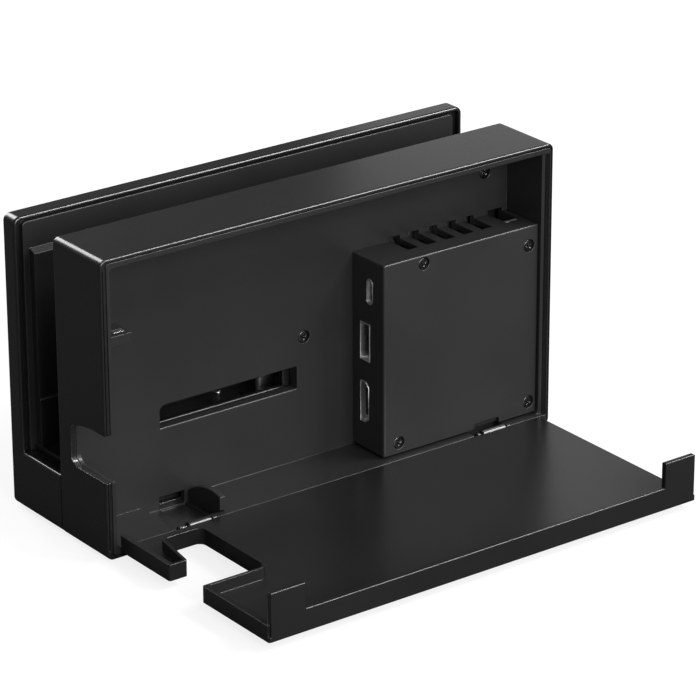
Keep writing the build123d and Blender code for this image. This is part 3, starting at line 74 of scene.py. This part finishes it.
# Camera
def make_camera():
    """Camera at the photograph's angle: it looks from behind, from the notch end and from above."""
    back = Vector((0.5518, 0.7402, 0.3843)).normalized()
    place = Vector((0.6566, 0.9148, 0.5080))
    roll = math.radians(-0.1876)
    forward = -back
    right = forward.cross(Vector((0, 0, 1))).normalized()
    up = right.cross(forward).normalized()
    right_rolled = right * math.cos(roll) + up * math.sin(roll)
    up_rolled = -right * math.sin(roll) + up * math.cos(roll)
    data = bpy.data.cameras.new("photo_camera")
    data.sensor_width = 36.0
    data.lens = 197.7
    data.clip_start = 0.01
    data.clip_end = 50.0
    camera = bpy.data.objects.new("photo_camera", data)
    bpy.context.scene.collection.objects.link(camera)
    turn = Matrix((right_rolled, up_rolled, back)).transposed()
    camera.matrix_world = Matrix.Translation(place) @ turn.to_4x4()
    bpy.context.scene.camera = camera


# Materials
def new_material(name):
    mat = bpy.data.materials.new(name)
    mat.use_nodes = True
    tree = mat.node_tree
    shader = tree.nodes["Principled BSDF"]
    return mat, tree, shader


def link(tree, a, a_out, b, b_in):
    tree.links.new(a.outputs[a_out], b.inputs[b_in])


def noise(tree, coords, scale, detail=2.0, rough=0.5):
    n = tree.nodes.new("ShaderNodeTexNoise")
    n.inputs["Scale"].default_value = scale
    n.inputs["Detail"].default_value = detail
    n.inputs["Roughness"].default_value = rough
    link(tree, coords, "Object", n, "Vector")
    return n


def spread(tree, source, low, high):
    """Maps the middle of a 0 to 1 value onto low to high."""
    m = tree.nodes.new("ShaderNodeMapRange")
    m.inputs["From Min"].default_value = 0.3
    m.inputs["From Max"].default_value = 0.7
    m.inputs["To Min"].default_value = low
    m.inputs["To Max"].default_value = high
    link(tree, source, "Fac", m, "Value")
    return m


def two_tones(tree, source, dark, light):
    ramp = tree.nodes.new("ShaderNodeValToRGB")
    ramp.color_ramp.elements[0].position = 0.3
    ramp.color_ramp.elements[0].color = (*dark, 1)
    ramp.color_ramp.elements[1].position = 0.7
    ramp.color_ramp.elements[1].color = (*light, 1)
    link(tree, source, "Fac", ramp, "Fac")
    return ramp


def relief(tree, source, shader, strength, depth, edge):
    """Fine bump over edges softened by the given radius."""
    bump = tree.nodes.new("ShaderNodeBump")
    bump.inputs["Strength"].default_value = strength
    bump.inputs["Distance"].default_value = depth
    link(tree, source, "Fac", bump, "Height")
    bevel = tree.nodes.new("ShaderNodeBevel")
    bevel.samples = 8
    bevel.inputs["Radius"].default_value = edge
    link(tree, bevel, "Normal", bump, "Normal")
    link(tree, bump, "Normal", shader, "Normal")


def moulded(name, level, rough, grain_size=0.3, grain=0.25, edge=0.3, specular=0.5):
    """Moulded plastic: even colour with a slow drift, fine spark-eroded grain, softened edges.

    The grain's size and the edge's radius are in millimetres."""
    drift = 0.12
    gloss_drift = 0.006
    blue = 1.03
    mat, tree, shader = new_material(name)
    coords = tree.nodes.new("ShaderNodeTexCoord")
    slow = noise(tree, coords, 28.0, 3.0)
    tone = (level, level, level * blue)
    dark = tuple(c * (1 - drift) for c in tone)
    light = tuple(c * (1 + drift) for c in tone)
    link(tree, two_tones(tree, slow, dark, light), "Color", shader, "Base Color")
    gloss = noise(tree, coords, 75.0, 4.0, 0.6)
    level_gloss = spread(tree, gloss, rough - gloss_drift, rough + gloss_drift)
    link(tree, level_gloss, "Result", shader, "Roughness")
    fine = noise(tree, coords, 1.0 / (grain_size * MM), 2.0, 0.6)
    relief(tree, fine, shader, grain, 0.03 * MM, edge * MM)
    shader.inputs["Specular IOR Level"].default_value = specular
    return mat


def metal(name, tone, rough, streaks, strength, along=(1, 1, 1)):
    """Metal with fine drawn streaks and slight colour drift."""
    mat, tree, shader = new_material(name)
    coords = tree.nodes.new("ShaderNodeTexCoord")
    mapping = tree.nodes.new("ShaderNodeMapping")
    mapping.inputs["Scale"].default_value = along
    link(tree, coords, "Object", mapping, "Vector")
    fine = tree.nodes.new("ShaderNodeTexNoise")
    fine.inputs["Scale"].default_value = streaks
    fine.inputs["Detail"].default_value = 3.0
    link(tree, mapping, "Vector", fine, "Vector")
    dark = tuple(c * 0.88 for c in tone)
    light = tuple(min(1.0, c * 1.08) for c in tone)
    link(tree, two_tones(tree, fine, dark, light), "Color", shader, "Base Color")
    link(tree, spread(tree, fine, rough * 0.8, rough * 1.25), "Result", shader, "Roughness")
    relief(tree, fine, shader, strength, 0.02 * MM, 0.12 * MM)
    shader.inputs["Metallic"].default_value = 1.0
    return mat


def laminate(name):
    """Green board laminate with darker copper traces showing through the lacquer."""
    mat, tree, shader = new_material(name)
    coords = tree.nodes.new("ShaderNodeTexCoord")
    cells = tree.nodes.new("ShaderNodeTexVoronoi")
    cells.distance = "MANHATTAN"
    cells.inputs["Scale"].default_value = 320.0
    link(tree, coords, "Object", cells, "Vector")
    ramp = tree.nodes.new("ShaderNodeValToRGB")
    ramp.color_ramp.interpolation = "CONSTANT"
    ramp.color_ramp.elements[0].color = (0.012, 0.085, 0.035, 1)
    ramp.color_ramp.elements[1].position = 0.45
    ramp.color_ramp.elements[1].color = (0.02, 0.14, 0.055, 1)
    link(tree, cells, "Distance", ramp, "Fac")
    link(tree, ramp, "Color", shader, "Base Color")
    weave = noise(tree, coords, 1400.0)
    relief(tree, weave, shader, 0.12, 0.03 * MM, 0.05 * MM)
    shader.inputs["Roughness"].default_value = 0.35
    return mat


def make_materials():
    """One material for each slot of the record."""
    return {
        "shell_plastic": moulded("shell_plastic", level=0.0095, rough=0.27, edge=0.5, specular=0.9),
        "inner_plastic": moulded(
            "inner_plastic", level=0.019, rough=0.36, grain=0.3, edge=0.4, specular=0.6
        ),
        "housing_plastic": moulded("housing_plastic", level=0.022, rough=0.36, edge=0.4, specular=0.7),
        "cover_plastic": moulded("cover_plastic", level=0.0105, rough=0.28, edge=0.4, specular=0.8),
        "core_plastic": moulded("core_plastic", level=0.012, rough=0.35, grain=0.2, edge=0.1),
        "chip": moulded("chip", level=0.018, rough=0.45, grain_size=0.2, grain=0.3, edge=0.1),
        "foot_rubber": moulded("foot_rubber", level=0.018, rough=0.75, grain_size=0.5, grain=0.6),
        "ribbon": metal(
            "ribbon", (0.45, 0.2, 0.05), rough=0.35, streaks=700, along=(20, 1, 20), strength=0.1
        ),
        "plated_steel": metal("plated_steel", (0.8, 0.8, 0.81), rough=0.4, streaks=900, strength=0.1),
        "bright_steel": metal("bright_steel", (0.72, 0.72, 0.73), rough=0.25, streaks=900, strength=0.1),
        "sheet_steel": metal(
            "sheet_steel", (0.5, 0.5, 0.52), rough=0.35, streaks=500, along=(1, 8, 8), strength=0.2
        ),
        "screw_steel": metal("screw_steel", (0.11, 0.11, 0.115), rough=0.26, streaks=1500, strength=0.2),
        "capacitor": metal(
            "capacitor", (0.62, 0.62, 0.64), rough=0.28, streaks=1100, along=(6, 1, 6), strength=0.2
        ),
        "board": laminate("board"),
    }


def dress(materials):
    """Gives every CAD node the material of its slot."""
    for part in frame["record"]["subparts"]:
        obj = nodes[part["node"]]
        obj.data.materials.clear()
        obj.data.materials.append(materials[part["material_slot"]])


# Pieces
def add_piece(name, bm, slot, body, replaced=()):
    """Turns a bmesh into a piece that rides on a body and takes its finish from a slot."""
    mesh = bpy.data.meshes.new(name)
    bmesh.ops.recalc_face_normals(bm, faces=bm.faces)
    bm.to_mesh(mesh)
    bm.free()
    mesh.materials.append(MATERIALS[slot])
    piece = bpy.data.objects.new(name, mesh)
    bpy.context.scene.collection.objects.link(piece)
    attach(piece, body)
    if replaced:
        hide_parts(*replaced)
    return piece


def solids_of(node):
    """Lowest and highest corners of each separate solid in a node."""
    bm = bmesh.new()
    bm.from_mesh(nodes[node].data)
    seen = set()
    found = []
    for start in bm.verts:
        if start in seen:
            continue
        seen.add(start)
        group = [start]
        for vert in group:
            for edge in vert.link_edges:
                other = edge.other_vert(vert)
                if other not in seen:
                    seen.add(other)
                    group.append(other)
        low = Vector([min(v.co[i] for v in group) for i in range(3)])
        high = Vector([max(v.co[i] for v in group) for i in range(3)])
        found.append((low, high))
    bm.free()
    return found


def lathe(profile, steps):
    """Closed turned body: profile points are radius and height, from the axis back to the axis."""
    bm = bmesh.new()
    rings = []
    for radius, height in profile:
        if radius == 0:
            rings.append([bm.verts.new((0, 0, height))])
            continue
        turn = [2 * math.pi * i / steps for i in range(steps)]
        rings.append([bm.verts.new((radius * math.cos(a), radius * math.sin(a), height)) for a in turn])
    for lower, upper in zip(rings, rings[1:]):
        for i in range(steps):
            j = (i + 1) % steps
            if len(lower) == 1:
                bm.faces.new((lower[0], upper[i], upper[j]))
            elif len(upper) == 1:
                bm.faces.new((lower[i], lower[j], upper[0]))
            else:
                bm.faces.new((lower[i], lower[j], upper[j], upper[i]))
    return bm


def drive_cutter(reach, half_width, depth, top):
    """Three-armed drive recess as a closed prism below the given top."""
    corners = []
    for arm in range(3):
        turn = math.radians(90 + 120 * arm)
        out = Vector((math.cos(turn), math.sin(turn)))
        side = Vector((-out.y, out.x))
        corners.append(out * reach - side * half_width)
        corners.append(out * reach + side * half_width)
        notch = math.radians(150 + 120 * arm)
        corners.append(Vector((math.cos(notch), math.sin(notch))) * half_width * 2)
    bm = bmesh.new()
    upper = [bm.verts.new((c.x, c.y, top)) for c in corners]
    lower = [bm.verts.new((c.x * 0.8, c.y * 0.8, top - depth)) for c in corners]
    bm.faces.new(upper)
    bm.faces.new(list(reversed(lower)))
    for i in range(len(corners)):
        j = (i + 1) % len(corners)
        bm.faces.new((upper[i], lower[i], lower[j], upper[j]))
    bmesh.ops.recalc_face_normals(bm, faces=bm.faces)
    return bm


def cut(body, tool):
    """Takes one closed bmesh out of another and returns the result as a mesh."""
    made = []
    for name, bm in (("cut_body", body), ("cut_tool", tool)):
        mesh = bpy.data.meshes.new(name)
        bmesh.ops.recalc_face_normals(bm, faces=bm.faces)
        bm.to_mesh(mesh)
        bm.free()
        obj = bpy.data.objects.new(name, mesh)
        bpy.context.scene.collection.objects.link(obj)
        made.append(obj)
    mod = made[0].modifiers.new("cut", "BOOLEAN")
    mod.operation = "DIFFERENCE"
    mod.solver = "EXACT"
    mod.object = made[1]
    bpy.context.view_layer.update()
    depsgraph = bpy.context.evaluated_depsgraph_get()
    result = bpy.data.meshes.new_from_object(made[0].evaluated_get(depsgraph))
    for obj in made:
        bpy.data.objects.remove(obj)
    return result


def screw_mesh(length, head_radius):
    """Pan head screw with rolled thread and a three-armed drive, its head's top at height 0."""
    head = 1.1 * MM
    shank = 1.0 * MM
    core = 0.82 * MM
    tip = core * 0.7
    pitch = 0.7 * MM
    run_out = 1.2 * pitch
    dome = 0.16 * MM
    corner = 0.3 * MM
    chamfer = 0.1 * MM
    dome_steps = 4
    corner_steps = 5
    profile = [(0, 0)]
    flat = head_radius - corner
    for i in range(1, dome_steps + 1):
        r = flat * i / dome_steps
        profile.append((r, -dome * (r / head_radius) ** 2))
    start = profile[-1][1]
    for i in range(1, corner_steps + 1):
        a = math.radians(90 - 90 / corner_steps * i)
        profile.append((flat + corner * math.cos(a), start - corner + corner * math.sin(a)))
    profile.append((head_radius, -head + chamfer))
    profile.append((head_radius - chamfer, -head))
    profile.append((shank, -head))
    height = -head - pitch / 2
    while height > -length + run_out:
        profile.append((core, height))
        profile.append((shank, height - pitch / 2))
        height -= pitch
    profile.append((core, -length + pitch / 2))
    profile.append((tip, -length))
    profile.append((0, -length))
    drive = drive_cutter(reach=1.15 * MM, half_width=0.21 * MM, depth=0.7 * MM, top=0.05 * MM)
    return cut(lathe(profile, steps=40), drive)


def make_screws(node, way):
    """Detailed screws in place of a node's plain ones. Way points from the tip to the head."""
    way = Vector(way)
    axis = max(range(3), key=lambda i: abs(way[i]))
    turn = Vector((0, 0, 1)).rotation_difference(way).to_matrix().to_4x4()
    bm = bmesh.new()
    templates = {}
    for order, (low, high) in enumerate(solids_of(node)):
        length = high[axis] - low[axis]
        radius = (high[axis - 1] - low[axis - 1]) / 2
        key = round(length / MM, 2)
        if key not in templates:
            templates[key] = screw_mesh(length, radius)
        top = (low + high) / 2
        top[axis] = high[axis] if way[axis] > 0 else low[axis]
        spin = Matrix.Rotation(math.radians(SCREW_TURN * order), 4, "Z")
        part = templates[key].copy()
        part.transform(Matrix.Translation(top) @ turn @ spin)
        bm.from_mesh(part)
    piece = add_piece(node + "_turned", bm, "screw_steel", "dock", (node,))
    piece.data.shade_smooth()


def bar_set(name, boxes, slot, body, edge):
    """Thin bars with bevelled edges, one for each pair of low and high corners."""
    bm = bmesh.new()
    for low, high in boxes:
        made = bmesh.ops.create_cube(bm, size=1.0)
        middle = (Vector(low) + Vector(high)) / 2
        size = Vector(high) - Vector(low)
        for vert in made["verts"]:
            vert.co = Vector((vert.co.x * size.x, vert.co.y * size.y, vert.co.z * size.z)) + middle
    bmesh.ops.bevel(bm, geom=bm.edges[:], offset=edge, segments=2, affect="EDGES", clamp_overlap=True)
    add_piece(name, bm, slot, body)


def port_contacts(node, name, count, width, length, sides):
    """Row of contacts on a port's tongue, on the given sides of it, in from the port's mouth.

    Each side is its level in Y and the heights of its first and last contact."""
    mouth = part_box(node)[1][0]
    proud = 0.04 * MM
    set_back = 0.5 * MM
    x1 = mouth - set_back
    boxes = []
    for face, inner, outer in sides:
        for i in range(count):
            z = inner + (outer - inner) * i / (count - 1)
            low = (x1 - length, face - proud, z - width / 2)
            high = (x1, face + proud, z + width / 2)
            boxes.append((low, high))
    bar_set(name, boxes, "plated_steel", "dock", edge=0.015 * MM)


def make_contacts():
    """Contacts on the tongues of the three ports."""
    low, high = [Vector(c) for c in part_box("power_port_core")]
    middle = (low.y + high.y) / 2
    half_tongue = 0.35 * MM
    inset = 1.3 * MM
    port_contacts(
        "power_port_core",
        "power_contacts",
        count=12,
        width=0.25 * MM,
        length=3.6 * MM,
        sides=[(middle + way * half_tongue, low.z + inset, high.z - inset) for way in (-1, 1)],
    )
    low, high = [Vector(c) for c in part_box("usb_port_core")]
    middle = (low.y + high.y) / 2
    inset = 2.6 * MM
    port_contacts(
        "usb_port_core",
        "usb_contacts",
        count=4,
        width=1.1 * MM,
        length=7.5 * MM,
        sides=[(middle, low.z + inset, high.z - inset)],
    )
    low, high = [Vector(c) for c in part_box("video_port_core")]
    middle = (low.y + high.y) / 2
    half_tongue = 0.7 * MM
    inset = 2.4 * MM
    port_contacts(
        "video_port_core",
        "video_contacts",
        count=10,
        width=0.4 * MM,
        length=6.0 * MM,
        sides=[(middle + way * half_tongue, low.z + inset, high.z - inset) for way in (-1, 1)],
    )


def make_mouths():
    """Port shells whose mouths stand out a little and end in a rolled edge."""
    walls = {"power_port_shell": 0.3 * MM, "usb_port_shell": 0.4 * MM, "video_port_shell": 0.35 * MM}
    stand_out = 0.32 * MM
    near = 0.002 * MM
    for node, wall in walls.items():
        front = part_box(node)[1][0]
        bm = bmesh.new()
        bm.from_mesh(nodes[node].data)
        bmesh.ops.remove_doubles(bm, verts=bm.verts, dist=0.001 * MM)
        bmesh.ops.dissolve_limit(bm, angle_limit=math.radians(0.5), verts=bm.verts, edges=bm.edges)
        mouth = [v for v in bm.verts if v.co.x > front - near]
        rim = [
            edge for edge in bm.edges
            if all(v in mouth for v in edge.verts) and edge.calc_face_angle(0) > math.radians(45)
        ]
        for vert in mouth:
            vert.co.x += stand_out
        roll = wall * 0.45
        bmesh.ops.bevel(bm, geom=rim, offset=roll, segments=4, affect="EDGES", clamp_overlap=True)
        piece = add_piece(node + "_rolled", bm, "plated_steel", "dock", (node,))
        piece.data.shade_smooth()
        piece.data.set_sharp_from_angle(angle=math.radians(40))


def make_clip():
    """Bent spring clip with a rolled top, in place of the plain ground clip."""
    low, high = [Vector(c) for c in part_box("ground_clip")]
    sheet = 0.35 * MM
    roll = 1.05 * MM
    foot = low.z + 0.9 * MM
    free_end = low.z + 0.3 * MM
    middle = low.y + roll
    outline = [(high.y, foot), (middle + roll, foot)]
    steps = 12
    for i in range(steps + 1):
        a = math.pi * i / steps
        outline.append((middle + roll * math.cos(a), high.z - roll + roll * math.sin(a)))
    outline.append((middle - roll, free_end))
    bm = bmesh.new()
    rings = []
    for x in (low.x, high.x):
        rings.append([bm.verts.new((x, y, z)) for y, z in outline])
    for i in range(len(outline) - 1):
        bm.faces.new((rings[0][i], rings[0][i + 1], rings[1][i + 1], rings[1][i]))
    bmesh.ops.recalc_face_normals(bm, faces=bm.faces)
    piece = add_piece("ground_clip_bent", bm, "plated_steel", "dock", ("ground_clip",))
    thicken = piece.modifiers.new("sheet", "SOLIDIFY")
    thicken.thickness = sheet
    thicken.offset = -1.0
    round_off = piece.modifiers.new("edges", "BEVEL")
    round_off.width = 0.08 * MM
    round_off.segments = 2


# Surroundings
def make_floor():
    """Pale paper floor under the object."""
    mesh = bpy.data.meshes.new("floor")
    bm = bmesh.new()
    size = 12.0
    corners = [bm.verts.new((x * size, y * size, 0)) for x, y in ((-1, -1), (1, -1), (1, 1), (-1, 1))]
    bm.faces.new(corners)
    bm.to_mesh(mesh)
    bm.free()
    floor = bpy.data.objects.new("floor", mesh)
    bpy.context.scene.collection.objects.link(floor)
    mat, tree, shader = new_material("floor_paper")
    out = tree.nodes["Material Output"]
    shader.inputs["Roughness"].default_value = 0.9
    coords = tree.nodes.new("ShaderNodeTexCoord")
    fibre = noise(tree, coords, 600.0)
    bump = tree.nodes.new("ShaderNodeBump")
    bump.inputs["Strength"].default_value = 0.05
    bump.inputs["Distance"].default_value = 0.0001
    link(tree, fibre, "Fac", bump, "Height")
    link(tree, bump, "Normal", shader, "Normal")
    path = tree.nodes.new("ShaderNodeLightPath")
    tone = tree.nodes.new("ShaderNodeMapRange")
    tone.inputs["To Min"].default_value = FLOOR_TONE
    tone.inputs["To Max"].default_value = FLOOR_GLOSS
    link(tree, path, "Is Glossy Ray", tone, "Value")
    link(tree, tone, "Result", shader, "Base Color")
    glow = tree.nodes.new("ShaderNodeEmission")
    glow.inputs["Color"].default_value = (1, 1, 1, 1)
    lift = tree.nodes.new("ShaderNodeMath")
    lift.operation = "MULTIPLY"
    lift.inputs[1].default_value = FLOOR_GLOW
    link(tree, path, "Is Camera Ray", lift, 0)
    link(tree, lift, "Value", glow, "Strength")
    both = tree.nodes.new("ShaderNodeAddShader")
    link(tree, shader, "BSDF", both, 0)
    link(tree, glow, "Emission", both, 1)
    link(tree, both, "Shader", out, "Surface")
    mesh.materials.append(mat)


def make_world():
    """White to the camera, a low even fill to everything else."""
    world = bpy.data.worlds.new("studio")
    bpy.context.scene.world = world
    world.use_nodes = True
    tree = world.node_tree
    back = tree.nodes["Background"]
    back.inputs["Color"].default_value = (1, 1, 1, 1)
    path = tree.nodes.new("ShaderNodeLightPath")
    seen = tree.nodes.new("ShaderNodeMath")
    seen.operation = "MAXIMUM"
    link(tree, path, "Is Camera Ray", seen, 0)
    link(tree, path, "Is Transmission Ray", seen, 1)
    gloss = tree.nodes.new("ShaderNodeMapRange")
    gloss.inputs["To Min"].default_value = WORLD_FILL
    gloss.inputs["To Max"].default_value = WORLD_GLOSS
    link(tree, path, "Is Glossy Ray", gloss, "Value")
    level = tree.nodes.new("ShaderNodeMapRange")
    level.inputs["To Max"].default_value = 1.0
    link(tree, gloss, "Result", level, "To Min")
    link(tree, seen, "Value", level, "Value")
    link(tree, level, "Result", back, "Strength")


def make_lamps():
    """Soft boxes: each is aimed at the object, and its power follows from its radiance and area."""
    for name, (way, distance, wide, high, radiance) in LAMPS.items():
        data = bpy.data.lights.new(name, "AREA")
        data.shape = "RECTANGLE"
        data.size = wide
        data.size_y = high
        data.energy = radiance * math.pi * wide * high
        lamp = bpy.data.objects.new(name, data)
        bpy.context.scene.collection.objects.link(lamp)
        way = Vector(way).normalized()
        lamp.location = LAMP_TARGET + way * distance
        lamp.rotation_euler = (-way).to_track_quat("-Z", "Y").to_euler()
        lamp.visible_camera = False


make_camera()
MATERIALS = make_materials()
dress(MATERIALS)
make_screws("wall_screws", (0, 1, 0))
make_screws("housing_screws", (0, 1, 0))
make_screws("joining_screws", (0, 1, 0))
make_screws("board_screws", (0, -1, 0))
make_screws("base_screws", (0, 0, -1))
make_screws("bracket_screws", (0, 0, -1))
make_contacts()
make_mouths()
make_clip()
make_floor()
make_world()
make_lamps()

bpy.context.scene.view_settings.view_transform = "Standard"
